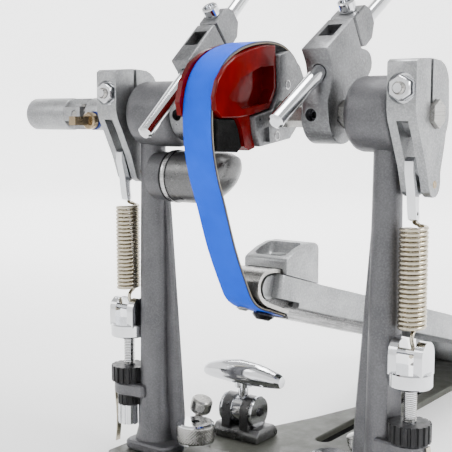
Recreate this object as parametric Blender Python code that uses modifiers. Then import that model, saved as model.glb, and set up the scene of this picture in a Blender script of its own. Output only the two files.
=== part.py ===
"""Bass drum pedal: the main unit of a double pedal, belt driven, with two beaters on coaxial axles.

+X points to the image-right post, +Y from the drum to the heel, +Z up. The origin is on the floor
under the axle, half-way between the posts. Sizes are in millimetres and MM turns them into metres.
"""

import math

import bmesh
import bpy
from mathutils import Matrix, Vector

MM = 0.001
GAP = 0.3

AXLE_Z = 207.0
POST_X = 77.0
SHAFT_R = 7.0
PLATE_TOP = 5.0
SPRING_X = 94.0
SPRING_Y = -4.5
HOUSING_R = 19.0
HOUSINGS = {"left": (-84.0, -52.0), "right": (60.0, 86.0)}
HUBS = {"left": (-52.0, -38.0, -44.0, -31.5), "right": (35.0, 50.5, 36.5, 51.5)}
ROD_ANGLE = {"left": 41.5, "right": 32.0}
ROD_OFFSET = {"left": 27.0, "right": 24.2}
ROD_R = 3.95
ROD_LOW, ROD_HIGH = -46.5, 152.0
BLOCK_FACE = 37.0
BEATER_R, BEATER_HALF = 26.0, 20.0
ROCKER_X = (86.5, 101.7)
BELT_X = (-10.0, 8.5)
BELT_THICK = 1.8
BOARD_SLOPE = 15.9
BOARD_TOE = (0.7, 120.4)
HEEL_AXIS = (286.0, 30.0)
CLAMP_X, CLAMP_Y, CLAMP_EYE_Z = -44.6, 46.8, 22.4
JAW_PIVOT = (-14.0, 12.0)
SPUR_X, SPUR_Y = 46.0, 0.0
SPUR_R = 11.0
UJOINT_X = -133.0
BELT_PIVOT = (-45.8, 239.9)
SPRING_ANCHOR_Z = 90.0
WHEEL_R = 11.0

AXES = {
    "X": Matrix(((0, 0, 1), (1, 0, 0), (0, 1, 0))),
    "Y": Matrix(((1, 0, 0), (0, 0, -1), (0, 1, 0))),
    "Z": Matrix.Identity(3),
}
FINISHES = {
    "cast_grey": ((0.25, 0.25, 0.27), 0.55, 0.6),
    "cast_silver": ((0.55, 0.55, 0.54), 0.5, 0.7),
    "chrome": ((0.8, 0.81, 0.83), 0.12, 1.0),
    "steel": ((0.5, 0.5, 0.5), 0.3, 1.0),
    "olive": ((0.32, 0.32, 0.28), 0.5, 0.4),
    "black": ((0.02, 0.02, 0.022), 0.45, 0.0),
    "brass": ((0.7, 0.5, 0.25), 0.3, 1.0),
    "blue_nylon": ((0.05, 0.08, 0.35), 0.4, 0.0),
    "red": ((0.35, 0.01, 0.01), 0.15, 0.0),
    "belt_blue": ((0.06, 0.25, 0.75), 0.55, 0.0),
    "felt_black": ((0.01, 0.01, 0.01), 0.9, 0.0),
    "felt_white": ((0.8, 0.78, 0.72), 0.95, 0.0),
}


# ---------------------------------------------------------------- scene and helpers


def clear_scene():
    for obj in list(bpy.data.objects):
        bpy.data.objects.remove(obj)
    made = []
    for name in ("bass_drum_pedal", "cutters"):
        collection = bpy.data.collections.new(name)
        bpy.context.scene.collection.children.link(collection)
        made.append(collection)
    return made


def finish(name):
    """The Principled material of this finish, made once."""
    if name in bpy.data.materials:
        return bpy.data.materials[name]
    colour, roughness, metallic = FINISHES[name]
    material = bpy.data.materials.new(name)
    material.use_nodes = True
    shader = material.node_tree.nodes["Principled BSDF"]
    shader.inputs["Base Color"].default_value = (*colour, 1)
    shader.inputs["Roughness"].default_value = roughness
    shader.inputs["Metallic"].default_value = metallic
    return material


def put(name, mesh, spot=(0, 0, 0), turn=None):
    """A new object with this mesh at a spot in millimetres, turned by a 3x3 matrix."""
    obj = bpy.data.objects.new(name, mesh)
    PARTS.objects.link(obj)
    turn = turn or Matrix.Identity(3)
    obj.matrix_world = Matrix.Translation(Vector(spot) * MM) @ turn.to_4x4()
    return obj


def dress(obj, look, bevel=0.0, segments=2):
    """Gives an object its material, rounded edges and smooth shading."""
    obj.data.materials.clear()
    obj.data.materials.append(finish(look))
    if bevel:
        modifier = obj.modifiers.new("rounding", "BEVEL")
        modifier.width = bevel * MM
        modifier.segments = segments
        modifier.limit_method = "ANGLE"
        modifier.angle_limit = math.radians(40)
    return obj


def cylinder(name, r, low, high, axis="Z", at=(0, 0), sides=32, tip_r=None, turn=None):
    """A cylinder or cone along an axis, from low to high, at its place across that axis."""
    mesh = bpy.data.meshes.new(name)
    bm = bmesh.new()
    bmesh.ops.create_cone(
        bm, cap_ends=True, segments=sides, radius1=r * MM,
        radius2=(r if tip_r is None else tip_r) * MM, depth=abs(high - low) * MM,
    )
    bm.to_mesh(mesh)
    bm.free()
    mesh.shade_smooth()
    mesh.set_sharp_from_angle(angle=math.radians(35))
    middle = (low + high) / 2
    spot = {"X": (middle, *at), "Y": (at[0], middle, at[1]), "Z": (*at, middle)}[axis]
    return put(name, mesh, spot, turn or AXES[axis])


def box(name, low, high, turn=None, spot=(0, 0, 0)):
    """A box between two corners, in a frame that may be turned and moved."""
    mesh = bpy.data.meshes.new(name)
    bm = bmesh.new()
    bmesh.ops.create_cube(bm, size=MM)
    size = [h - l for l, h in zip(low, high)]
    middle = [(h + l) / 2 * MM for l, h in zip(low, high)]
    bmesh.ops.scale(bm, vec=size, verts=bm.verts)
    bmesh.ops.translate(bm, vec=middle, verts=bm.verts)
    bm.to_mesh(mesh)
    bm.free()
    return put(name, mesh, spot, turn)


def plate(name, outline, low, high, axis="X", turn=None, spot=None):
    """A flat outline with thickness from low to high, made from a filled 2D curve."""
    curve = bpy.data.curves.new(name, "CURVE")
    curve.dimensions = "2D"
    curve.fill_mode = "BOTH"
    curve.extrude = (high - low) / 2 * MM
    spline = curve.splines.new("POLY")
    spline.points.add(len(outline) - 1)
    for point, (u, v) in zip(spline.points, outline):
        point.co = (u * MM, v * MM, 0, 1)
    spline.use_cyclic_u = True
    guide = put(name + "_outline", curve)
    bpy.context.view_layer.update()
    graph = bpy.context.evaluated_depsgraph_get()
    mesh = bpy.data.meshes.new_from_object(guide.evaluated_get(graph))
    bpy.data.objects.remove(guide)
    bm = bmesh.new()
    bm.from_mesh(mesh)
    bmesh.ops.remove_doubles(bm, verts=bm.verts, dist=1e-6)
    bmesh.ops.dissolve_limit(bm, angle_limit=0.01, verts=bm.verts, edges=bm.edges)
    bmesh.ops.recalc_face_normals(bm, faces=bm.faces)
    bm.to_mesh(mesh)
    bm.free()
    mesh.shade_smooth()
    mesh.set_sharp_from_angle(angle=math.radians(35))
    turn = turn or AXES[axis]
    middle = turn @ Vector((0, 0, (low + high) / 2))
    return put(name, mesh, middle + Vector(spot or (0, 0, 0)), turn)


def turned(name, profile, axis="Z", spot=(0, 0, 0), sides=32, turn=None):
    """A turned shape: the profile lists (radius, height) down its outer side."""
    mesh = bpy.data.meshes.new(name)
    bm = bmesh.new()
    verts = [bm.verts.new((r * MM, 0, z * MM)) for r, z in profile]
    for one, two in zip(verts, verts[1:]):
        bm.edges.new((one, two))
    bm.to_mesh(mesh)
    bm.free()
    obj = put(name, mesh, spot, turn or AXES[axis])
    screw = obj.modifiers.new("turning", "SCREW")
    screw.steps = screw.render_steps = sides
    screw.use_merge_vertices = True
    screw.merge_threshold = 1e-5
    screw.use_smooth_shade = True
    return obj


def bare(obj):
    """Turns an object's modifiers into plain mesh, so that it can be joined or cut again."""
    bpy.context.view_layer.update()
    graph = bpy.context.evaluated_depsgraph_get()
    mesh = bpy.data.meshes.new_from_object(obj.evaluated_get(graph))
    obj.modifiers.clear()
    obj.data = mesh
    return obj


def boolean(obj, operation, tools):
    for tool in tools:
        modifier = obj.modifiers.new(operation.lower(), "BOOLEAN")
        modifier.operation = operation
        modifier.object = tool
        PARTS.objects.unlink(tool)
        CUTTERS.objects.link(tool)
        tool.hide_render = True
        tool.display_type = "WIRE"
    return obj


def cut(obj, *tools):
    return boolean(obj, "DIFFERENCE", tools)


def join(obj, *tools):
    return boolean(obj, "UNION", tools)


def arc(cu, cv, r, start, end, count=6):
    """Points along an arc, in degrees."""
    angles = [math.radians(start + (end - start) * i / count) for i in range(count + 1)]
    return [(cu + r * math.cos(a), cv + r * math.sin(a)) for a in angles]


def smooth_path(points, steps=3):
    """A Catmull-Rom curve through the points."""
    ends = [points[0]] + list(points) + [points[-1]]
    path = []
    for a, b, c, d in zip(ends, ends[1:], ends[2:], ends[3:]):
        for i in range(steps):
            t = i / steps
            path.append(tuple(
                0.5 * (2 * q + (r - p) * t + (2 * p - 5 * q + 4 * r - s) * t * t
                       + (3 * q - p - 3 * r + s) * t ** 3)
                for p, q, r, s in zip(a, b, c, d)
            ))
    return path + [tuple(points[-1])]


def offset(path, distance):
    """The path moved to its left by a distance."""
    moved = []
    for i, (u, v) in enumerate(path):
        before, after = path[max(i - 1, 0)], path[min(i + 1, len(path) - 1)]
        du, dv = after[0] - before[0], after[1] - before[1]
        length = math.hypot(du, dv)
        moved.append((u - dv / length * distance, v + du / length * distance))
    return moved


def ribbon(path, thickness):
    return offset(path, thickness / 2) + offset(path, -thickness / 2)[::-1]


def tilt_x(angle):
    return Matrix.Rotation(math.radians(angle), 3, "X")


def shaft_hole(name, low, high):
    """A cutter for the hexagonal shaft's hole."""
    return cylinder(name, SHAFT_R + GAP + 0.05, low, high, "X", (0, AXLE_Z), sides=6)


# ---------------------------------------------------------------- base and posts


def base_plate():
    """The floor plate, with a long slot and two lugs that carry the hoop jaw."""
    half = [
        (0, -62), (24, -62), (34, -54), (48, -36), (86, -32), (95, -23), (95, 20), (86, 31), (70, 36),
        (60, 52), (39.5, 75), (28, 105), (16.7, 143), (15, 160), (15, 236), (38, 272), (38, 360),
        (33, 365), (0, 365),
    ]
    outline = half + [(-x, y) for x, y in reversed(half[1:-1])]
    plate_body = plate("base_plate", outline, 0, PLATE_TOP, "Z")
    slot = plate(
        "slot_cutter", arc(0, 71, 5, 180, 360) + arc(0, 220, 5, 0, 180), -5, PLATE_TOP + 5, "Z"
    )
    y, z = JAW_PIVOT
    lugs = [
        plate("lug", [(y - 6.5, 2), (y - 6.5, z)] + arc(y, z, 6.5, 165, 15, 6) + [(y + 6.5, 2)], low, low + 4)
        for low in (-22, 18)
    ]
    join(cut(plate_body, slot), *lugs)
    cut(plate_body, cylinder("pin_hole", 2.9, -30, 30, "X", JAW_PIVOT, 20))
    return dress(plate_body, "olive", 0.6, 1)


def post(side):
    """A cast post: tapered tube, inner web, foot, spring bracket and bearing housing in one."""
    sign = -1 if side == "left" else 1
    x0 = sign * POST_X
    low, high = HOUSINGS[side]
    column = turned("post_" + side, [
        (0, 200), (7.2, 200), (7.4, 180), (8.3, 110), (9.2, 40), (10.5, 18), (13, 8), (13, 5.3), (0, 5.3),
    ], spot=(x0, 0, 0), sides=24, turn=Matrix.Rotation(math.radians(98 - sign * 90), 3, "Z"))
    web_profile = [
        (0, 5.6), (19.2, 5.6), (19.2, 28), (18.4, 38), (17, 59), (13, 110), (10, 148), (7, 178), (0, 178),
    ]
    web = plate("web", [(x0 - sign * u, z) for u, z in web_profile], -6.2, -1.2, "Y")
    web.location.y = 3.5 * MM
    dress(web, "cast_grey", 1.2, 1)
    foot = plate("foot", rounded_box(x0 - sign * 4, 4, 17, 20, 6), 5.3, 11, "Z")
    dress(foot, "cast_grey", 1.2, 1)
    arm_out = sign * SPRING_X
    arm = plate("arm", [(x0, -12), (x0, 6)] + [
        (arm_out + sign * 9.5 * math.cos(math.radians(a)), SPRING_Y + 9 * math.sin(math.radians(a)))
        for a in range(90, -91, -20)
    ], 37, 44.5, "Z")
    dress(arm, "cast_grey", 1.0, 1)
    gusset = plate("gusset", [
        (x0 + sign * u, z) for u, z in
        ((0, 9), (7, 9), (9, 24), (11.5, 31), (14.5, 35.5), (17, 37.3), (17, 40), (0, 40))
    ], -6.5, -3, "Y")
    housing = turned(
        "housing", rounded_roller(HOUSING_R, low, high, 4.5), "X", (0, 0, AXLE_Z), sides=36
    )
    tools = [bare(web), bare(foot), bare(arm), gusset, bare(housing)]
    if side == "left":
        tools.append(cylinder("barrel_boss", 14.2, -72, -61.5, "X", (0, 171), sides=36))
    column = join(bare(column), *tools)
    inner = high if side == "left" else low
    way = -1 if side == "left" else 1
    cut(
        column,
        bearing_seat(low, high, inner, way),
        cylinder("rod_hole", 3.5, 30, 50, "Z", (arm_out, SPRING_Y), sides=16),
        cylinder("wheel_relief", WHEEL_R + 0.6, 44.5, 97, "Z", (arm_out, SPRING_Y), sides=32),
    )
    ring_in, ring_out = inner + way * 0.6, inner + way * 7.7
    ring = cylinder("bearing_" + side, 11.0, ring_in, ring_out, "X", (0, AXLE_Z), sides=32)
    bore_ends = inner - way * 3, inner + way * 12
    cut(ring, cylinder("bearing_bore", SHAFT_R + 0.4, *bore_ends, "X", (0, AXLE_Z), 32))
    dress(ring, "steel")
    return dress(column, "cast_grey")


def bearing_seat(low, high, inner, way):
    """The cutter for a housing: a bore right through and a wider seat at its inner end."""
    profile = [(8.2, high + 2), (8.2, low - 2)]
    step = inner + way * 8
    if way > 0:
        profile[1:] = [(8.2, step), (11.3, step), (11.3, low - 2)]
    else:
        profile[:1] = [(11.3, high + 2), (11.3, step), (8.2, step)]
    ends = [(0, profile[0][1]), *profile, (0, profile[-1][1])]
    return turned("bearing_seat", ends, "X", (0, 0, AXLE_Z), sides=28)


def rounded_roller(r, low, high, fillet):
    """The profile of a bar with rounded ends, from its high end to its low end."""
    top = [(u, v) for u, v in arc(r - fillet, high - fillet, fillet, 90, 0, 3)]
    return [(0, high)] + top + [(u, low + high - v) for u, v in reversed(top)] + [(0, low)]


def rounded_box(cx, cy, half_x, half_y, r):
    points = []
    for quadrant, (sx, sy) in enumerate(((1, 1), (-1, 1), (-1, -1), (1, -1))):
        points += arc(cx + sx * (half_x - r), cy + sy * (half_y - r), r, 90 * quadrant, 90 * quadrant + 90, 4)
    return points


def stop_barrel():
    """A round stub beside the left post, with a slanted dome at its inner end."""
    radius, middle_z = 15.0, 171.0
    profile = [(0, -18), (5, -18.6), (9.5, -21), (12.6, -24), (14.4, -28), (radius, -33),
               (radius, -59.6), (13.6, -61.1), (0, -61.1)]
    barrel = bare(turned("stop_barrel", profile, "X", (0, 0, middle_z), sides=36))
    for vert in barrel.data.vertices:
        along, up = vert.co.z / MM, vert.co.y / MM
        reach = min(max((along + 40) / 14, 0), 1)
        vert.co.z += 0.55 * up * reach * MM
    return dress(barrel, "cast_silver")


# ---------------------------------------------------------------- spring adjusters


def adjuster(side):
    sign = -1 if side == "left" else 1
    at = (sign * SPRING_X, SPRING_Y)
    rod = ribbed_nut("tension_rod_" + side, at, 7.2, 18.2, 30.0, 12, 0.8, bore=0)
    dress(join(rod, cylinder("thread", 3.0, 25, 72.2, "Z", at, sides=20)), "chrome")
    collar = turned("spring_clevis_" + side, [
        (0, 80.5), (WHEEL_R - 0.7, 80.5), (WHEEL_R, 79.8), (WHEEL_R, 73.4), (WHEEL_R - 0.7, 72.6), (0, 72.6),
    ], spot=(*at, 0), sides=24)
    lugs = [
        plate("lug", [(at[1] - 7, 79), (at[1] - 7, 88)] + arc(at[1], 89.5, 7, 170, 10, 6)
              + [(at[1] + 7, 88), (at[1] + 7, 79)], low, low + 4.6)
        for low in (at[0] - 9.2, at[0] + 4.6)
    ]
    join(bare(collar), *lugs, cylinder("lug_pin", 1.7, at[0] - 6, at[0] + 6, "X", (at[1], 90), 12))
    dress(collar, "chrome")
    wheel = ribbed_nut("tension_wheel_" + side, at, WHEEL_R, 44.9, 54.4, 18, 0.9)
    dress(wheel, "black")
    dress(ribbed_nut("lock_nut_" + side, at, 7.4, 30.4, 36.6, 14, 0.6), "black")


def ribbed_nut(name, at, r, low, high, ribs, depth, bore=3.35):
    """A nut with straight grip ribs and a clearance hole for the threaded rod."""
    outline = []
    for i in range(ribs):
        for part, radius in ((0.0, r), (0.5, r), (0.62, r - depth), (0.88, r - depth)):
            a = 2 * math.pi * (i + part) / ribs
            outline.append((at[0] + radius * math.cos(a), at[1] + radius * math.sin(a)))
    nut = plate(name, outline, low, high, "Z")
    if bore:
        cut(nut, cylinder("nut_bore", bore, low - 2, high + 2, "Z", at, sides=20))
    return nut


def spring(side):
    """The plain sleeve that the coil fills."""
    sign = -1 if side == "left" else 1
    at = (sign * SPRING_X, SPRING_Y)
    coil = cylinder("spring_" + side, 7.3, 100.5, 153.5, "Z", at, sides=20)
    cut(coil, cylinder("coil_bore", 5.4, 95, 158, "Z", at, sides=16))
    return dress(coil, "steel")


def stirrup(side):
    """The link that hangs from the rocker's fork pin and holds the spring's upper hook."""
    sign = -1 if side == "left" else 1
    x0 = sign * SPRING_X
    outline = (
        [(-9.6, 186.6), (-11.8, 184.6), (-11.6, 179), (-9.2, 170), (-7.8, 160), (-7, 156.2)]
        + [(-4.5, 155.2), (-3.4, 157), (-4.6, 163), (-4.2, 168)]
        + arc(1, 173, 4.6, -90, 90, 6) + [(-4, 178), (-7.4, 181.6), (-7.9, 185.4)]
    )
    link = plate("stirrup_" + side, outline, x0 - 2.3, x0 + 2.3)
    cut(link, cylinder("hook_hole", 0.9, x0 - 5, x0 + 5, "X", (-5.6, 159.0), 12))
    return dress(link, "chrome")


# ---------------------------------------------------------------- parts shared by both axles


def rocker(side):
    """The spring lever that is clamped on the shaft's outer end, with a forked arm."""
    sign = -1 if side == "left" else 1
    low, high = (sign * v for v in (ROCKER_X if sign > 0 else ROCKER_X[::-1]))
    middle = (low + high) / 2
    outline = (
        [(-21.6, 209), (-21.6, 231.2), (-19.5, 232.6), (-6, 233.4), (6, 232.6)]
        + arc(4, 221.5, 11, 80, 10, 4) + arc(0, 207, 15.8, 10, -35, 4)
        + [(11, 190), (7.5, 179)] + arc(1, 173, 6.4, 0, -150, 6) + [(-9, 182), (-15.5, 195), (-20.3, 204)]
    )
    lever = plate("rocker_" + side, outline, low, high)
    dress(lever, "cast_silver", 0.7, 1)
    fork = plate(
        "fork_cutter",
        [(-40, 204), (-20, 203.8), (-14.5, 202.8), (-11, 199), (-6, 196), (0, 195.4), (40, 195.4),
         (40, 150), (-40, 150)],
        middle - 3.1, middle + 3.1,
    )
    bolt_at = (middle, 219.0)
    cut(
        bare(lever), fork, shaft_hole("rocker_bore", low - 2, high + 2),
        box("slit", (low - 2, -6.2, AXLE_Z), (high + 2, -3.6, 240)),
        cylinder("nut_pocket", 7.4, -30, -17.6, "Y", bolt_at, 28),
        cylinder("bolt_hole", 2.6, -25, 25, "Y", bolt_at, 16),
    )
    bolt = cylinder("rocker_bolt_" + side, 6.2, -24.2, -17.9, "Y", bolt_at, 6)
    dress(bolt, "chrome", 0.5, 1)
    join(bare(bolt), cylinder("bolt_shank", 2.25, -26.3, 17, "Y", bolt_at, 16),
         cylinder("bolt_head", 4.2, 15.8, 19.5, "Y", bolt_at, 16))
    return lever


def rod_frame(side):
    """Columns are the rod's direction, the block's outward normal and +X."""
    a = math.radians(ROD_ANGLE[side])
    return Matrix(((0, 0, 1), (math.cos(a), -math.sin(a), 0), (math.sin(a), math.cos(a), 0)))


def along_rod(side, s, n, x=0.0):
    return Vector((0, 0, AXLE_Z)) + rod_frame(side) @ Vector((s, n, x))


def hub(side):
    """The cast beater holder: a boss on the shaft, a tall side lobe and a block that the rod passes."""
    boss_low, boss_high, low, high = HUBS[side]
    frame = rod_frame(side)
    middle, n_rod = (low + high) / 2, ROD_OFFSET[side]
    outline = (
        [(1.8, BLOCK_FACE), (33.4, BLOCK_FACE), (33.4, 19.5), (37.5, 16.5)]
        + arc(33.5, 10.5, 7, 40, -75, 5) + [(24, 1.5), (16, -5)] + arc(0, 0, 15.4, -20, -195, 10)
        + [(-10.5, 14), (-4.5, 18.5), (0.4, 24), (1.8, 29)]
    )
    body = plate("hub_" + side, outline, low, high, turn=frame, spot=(0, 0, AXLE_Z))
    dress(body, "cast_silver", 0.8, 2)
    join(bare(body), cylinder("boss", 15.4, boss_low + 0.4, boss_high, "X", (0, AXLE_Z), 40))
    window_low, window_high = (15, BLOCK_FACE - 5, middle - 4.4), (27, BLOCK_FACE + 5, middle + 4.4)
    window = box("window", window_low, window_high, frame, (0, 0, AXLE_Z))
    hole = cylinder("rod_bore", ROD_R + 0.35, -20, 60, "Z", (0, 0), 24)
    hole.matrix_world = place_along(side, 14, n_rod, middle, "s")
    boss_x = boss_low + 0.4 * (boss_high - boss_low)
    set_hole = cylinder("set_hole", 3.3, -26, -9, "Y", (boss_x, AXLE_Z - 0.5), 20)
    if side == "left":
        bore = cylinder("journal_bore", 4.5, -42, -25, "X", (0, AXLE_Z), 28)
        cut(body, bore, shaft_hole("hub_bore", -60, -41.6))
    else:
        cut(body, shaft_hole("hub_bore", 30, 60))
    cut(body, window, hole, set_hole)
    cap(side, low, high, middle, n_rod, frame)
    return body


def place_along(side, s, n, x, direction):
    """A matrix with local Z along the rod (s) or along the block's normal (n)."""
    frame = rod_frame(side)
    rod_way, normal, across = (frame.col[i] for i in range(3))
    columns = (normal, across, rod_way) if direction == "s" else (across, rod_way, normal)
    turn = Matrix(columns).transposed()
    return Matrix.Translation(along_rod(side, s, n, x) * MM) @ turn.to_4x4()


def cap(side, low, high, middle, n_rod, frame):
    outline = [
        (34.4, 19.6), (34.4, BLOCK_FACE), (48, BLOCK_FACE), (52.5, 32.5), (52.5, 24), (46, 18), (39, 17.6),
    ]
    body = plate("hub_cap_" + side, outline, low, high, turn=frame, spot=(0, 0, AXLE_Z))
    dress(body, "cast_silver", 0.8, 1)
    hole = cylinder("cap_bore", ROD_R + 0.35, 0, 40, "Z", (0, 0), 24)
    hole.matrix_world = place_along(side, 44, n_rod, middle, "s")
    seat = cylinder("bolt_seat", 2.4, 0, 10, "Z", (0, 0), 16)
    seat.matrix_world = place_along(side, 42, BLOCK_FACE, middle, "n")
    cut(bare(body), hole, seat)
    bolt = turned("cap_bolt_" + side, [
        (0, 2.2), (2.9, 2.2), (2.9, 5.6), (4.2, 5.6), (4.7, 5.1), (4.7, 0.35), (2.0, 0.35), (2.0, -3.6),
        (0, -3.6),
    ], sides=20)
    bolt.matrix_world = place_along(side, 42, BLOCK_FACE, middle, "n")
    return dress(bolt, "chrome")


def beater(side):
    low, high = HUBS[side][2:]
    middle, n_rod = (low + high) / 2, ROD_OFFSET[side]
    rod = turned("beater_rod_" + side, [
        (0, ROD_HIGH), (3.2, ROD_HIGH), (ROD_R, ROD_HIGH - 0.8), (ROD_R, ROD_LOW + 1.2), (2.7, ROD_LOW),
        (0, ROD_LOW),
    ], sides=20)
    rod.matrix_world = place_along(side, 0, n_rod, middle, "s")
    dress(rod, "chrome")
    head = turned("beater_head_" + side, [
        (0, BEATER_HALF), (12, 19.4), (20, 16.7), (24.6, 11), (BEATER_R, 3.5), (BEATER_R, -3.5),
        (24.6, -11), (20, -16.7), (12, -19.4), (0, -BEATER_HALF),
    ], sides=28)
    head.matrix_world = place_along(side, ROD_HIGH + 8, n_rod, middle, "n")
    socket = cylinder("rod_socket", ROD_R + 0.35, 0, 60, "Z", (0, 0), 20)
    socket.matrix_world = place_along(side, ROD_HIGH + 0.4 - 30, n_rod, middle, "s")
    return dress(cut(head, socket), "felt_white")


# ---------------------------------------------------------------- main axle: cam, carrier, belt


def belt_path():
    return smooth_path([
        (27, 228.5), (21, 237), (10, 243), (-4, 244.6), (-20, 242.6), (-33, 238.6), (-43, 232.6),
        (-50, 224), (-53.6, 213.5), (-54.2, 202), (-53, 189), (-49.5, 175.5), (-44, 162), (-34.5, 137.5),
        (-24, 117), (-18.5, 108.3), (-11, 102.9), (0, 99.05), (12.2, 94.75),
    ])


def belt():
    strap = plate("belt", ribbon(belt_path(), BELT_THICK), *BELT_X)
    holes = [hole_across_slope("belt_hole", x, y, 2.5) for x, y in ((0, 4), (-5, -8.9))]
    return dress(cut(strap, *holes), "belt_blue")


def hole_across_slope(name, x, y, r):
    """A drill across the sloping lower leg of the toe bracket."""
    z = 99.05 - 0.353 * y
    drill = cylinder(name, r, -8, 8, "Z", (0, 0), 16)
    drill.matrix_world = Matrix.Translation(Vector((x, y, z)) * MM) @ tilt_x(-19.4).to_4x4()
    return drill


def cam():
    on_cam = [p for p in belt_path() if p[1] > 206 and p[0] < -2.5]
    bed = offset(on_cam, BELT_THICK / 2 + 0.35)
    inner = [
        (-49, 205.2), (-36.3, 205.2), (-25.5, 206.3), (-8.6, 209.8), (-3.4, 217.4), (-1.6, 221.5),
        (-2.4, 232.7),
    ]
    core = plate("cam", bed + inner, -10.3, 8.8)
    right = plate("right_flange", [
        (-3.2, 243.2), (-14, 242.2), (-26, 239.6), (-38, 235.8), (-47.5, 230.0), (-53.3, 223.7),
        (-56.2, 215.3), (-55, 209), (-50, 205), *inner[1:],
    ], 8.5, 11.5)
    left = plate("left_flange", [
        (-3.2, 245.0), (-20, 243.4), (-35.5, 239.4), (-47, 232.5), (-54.2, 223.4), (-57.2, 213),
        (-55.5, 206.5), (-50, 205), *inner[1:],
    ], -13, -10)
    leg = plate("cam_leg", [
        (-37.5, 206), (-35.5, 204.6), (-32.7, 200), (-29.5, 190.4), (-26, 188.2), (-20.6, 189.6),
        (-23.9, 197.4), (-25.6, 207),
    ], -7.5, 10.5)
    join(core, dress(bare(dress(right, "red", 0.6, 2)), "red"), left, leg)
    window = plate("cam_window", [
        (-4.6, 232.4), (-16.4, 231.4), (-34, 225.2), (-45, 215.5), (-33, 209.2), (-9.5, 212.9), (-4.6, 220.4),
    ], 4.5, 15)
    return dress(cut(core, window), "red")


def cam_carrier():
    outline = [
        (-1.7, 238.2), (8, 240.6), (18.6, 233), (23, 226.5), (15.4, 199.6), (9, 193.7), (-19.9, 190),
        (-23.3, 197.2), (-25.0, 205.7), (-8.0, 209.1), (-2.8, 217.0), (-0.9, 221.4), (-1.7, 232),
    ]
    carrier = plate("cam_carrier", outline, -7.8, 13.5)
    dress(carrier, "cast_silver", 0.8, 2)
    relief = plate("half_moon", [(-21, 198.2), (-12, 200.6), (-11, 192.3), (-19.5, 193)], 11.5, 18)
    return cut(bare(carrier), shaft_hole("carrier_bore", -20, 20), relief)


def cam_felt():
    outline = [(-51.8, 204.6), (-51.3, 189), (-33.8, 187.4), (-30.8, 190.2), (-33.8, 199.9), (-36.8, 204.3)]
    return dress(plate("cam_felt", outline, -7.5, 9.5), "felt_black", 0.6, 1)


def shafts():
    main = cylinder("main_shaft", SHAFT_R, -30.6, 104, "X", (0, AXLE_Z), 6)
    dress(join(main, cylinder("journal", 4.2, -40.8, -30, "X", (0, AXLE_Z), 24)), "steel")
    second = cylinder("second_shaft", SHAFT_R, -104.5, -42.6, "X", (0, AXLE_Z), 6)
    dress(second, "steel")


# ---------------------------------------------------------------- coupling for the second pedal


def universal_joint():
    yoke = cylinder("ujoint_yoke", 10, -124, -104.9, "X", (0, AXLE_Z), 32)
    ears = [box("ear", (-138, -4.6, z), (-123.5, 4.6, z + 3.4)) for z in (AXLE_Z + 6.1, AXLE_Z - 9.5)]
    key_at = (-114.0, 203.0)
    dress(yoke, "cast_silver", 0.8, 2)
    join(bare(yoke), *ears)
    cut(
        yoke, cylinder("cross_hole", 2.35, 190, 225, "Z", (UJOINT_X, 0), 20),
        box("pinch_slot", (-121.5, -1, AXLE_Z + 4), (-104, 1.4, AXLE_Z + 14)),
        cylinder("key_hole", 3.3, -20, 0, "Y", key_at, 16),
    )
    washer = cylinder("key_washer", 5.6, -12.2, -10.3, "Y", key_at, 24)
    cut(washer, cylinder("washer_hole", 3.3, -16, -6, "Y", key_at, 16))
    dress(washer, "blue_nylon")
    key = turned("ujoint_key_bolt", [
        (0, 17.2), (4.4, 17.2), (5.2, 16.4), (5.2, 14), (3.6, 13.2), (3.6, 12.6), (0, 12.6),
    ], sides=20)
    key.matrix_world = Matrix.Translation(Vector((key_at[0], 0, key_at[1])) * MM) @ AXES["Y"].to_4x4()
    collar = cylinder("key_collar", 4.9, -15, -12.5, "Y", key_at, 20)
    key_x, key_z = key_at
    square = box("key_square", (key_x - 2.6, -30, key_z - 2.6), (key_x + 2.6, -17, key_z + 2.6))
    shank = cylinder("key_shank", 2.9, -13, -3, "Y", key_at, 16)
    dress(join(bare(key), collar, square, shank), "brass")
    cross = cylinder("ujoint_cross", 4.9, -4.9, 4.9, "X", (0, AXLE_Z), 16)
    cross.location.x = UJOINT_X * MM
    join(cross, cylinder("pin_up", 2.0, AXLE_Z - 9.3, AXLE_Z + 9.3, "Z", (UJOINT_X, 0), 16),
         cylinder("pin_across", 2.0, -9.3, 9.3, "Y", (UJOINT_X, AXLE_Z), 16))
    dress(cross, "steel")
    socket = cylinder("ujoint_socket", 10, -176, -142, "X", (0, AXLE_Z), 32)
    dress(socket, "cast_silver", 0.8, 2)
    arms = [box("arm", (-142.5, y, AXLE_Z - 4.4), (-128.2, y + 3.4, AXLE_Z + 4.4)) for y in (6.1, -9.5)]
    cut(
        join(bare(socket), *arms), cylinder("arm_hole", 2.35, -15, 15, "Y", (UJOINT_X, AXLE_Z), 20),
        cylinder("rod_socket", 4.7, -180, -150, "X", (0, AXLE_Z), 6),
    )


# ---------------------------------------------------------------- footboard


def board_frame():
    """Turn and place of the footboard: local Y runs down the slope, local Z is its normal."""
    return tilt_x(-BOARD_SLOPE), (0, *BOARD_TOE)


def board_length():
    return (HEEL_AXIS[0] - BOARD_TOE[0]) / math.cos(math.radians(BOARD_SLOPE))


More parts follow.
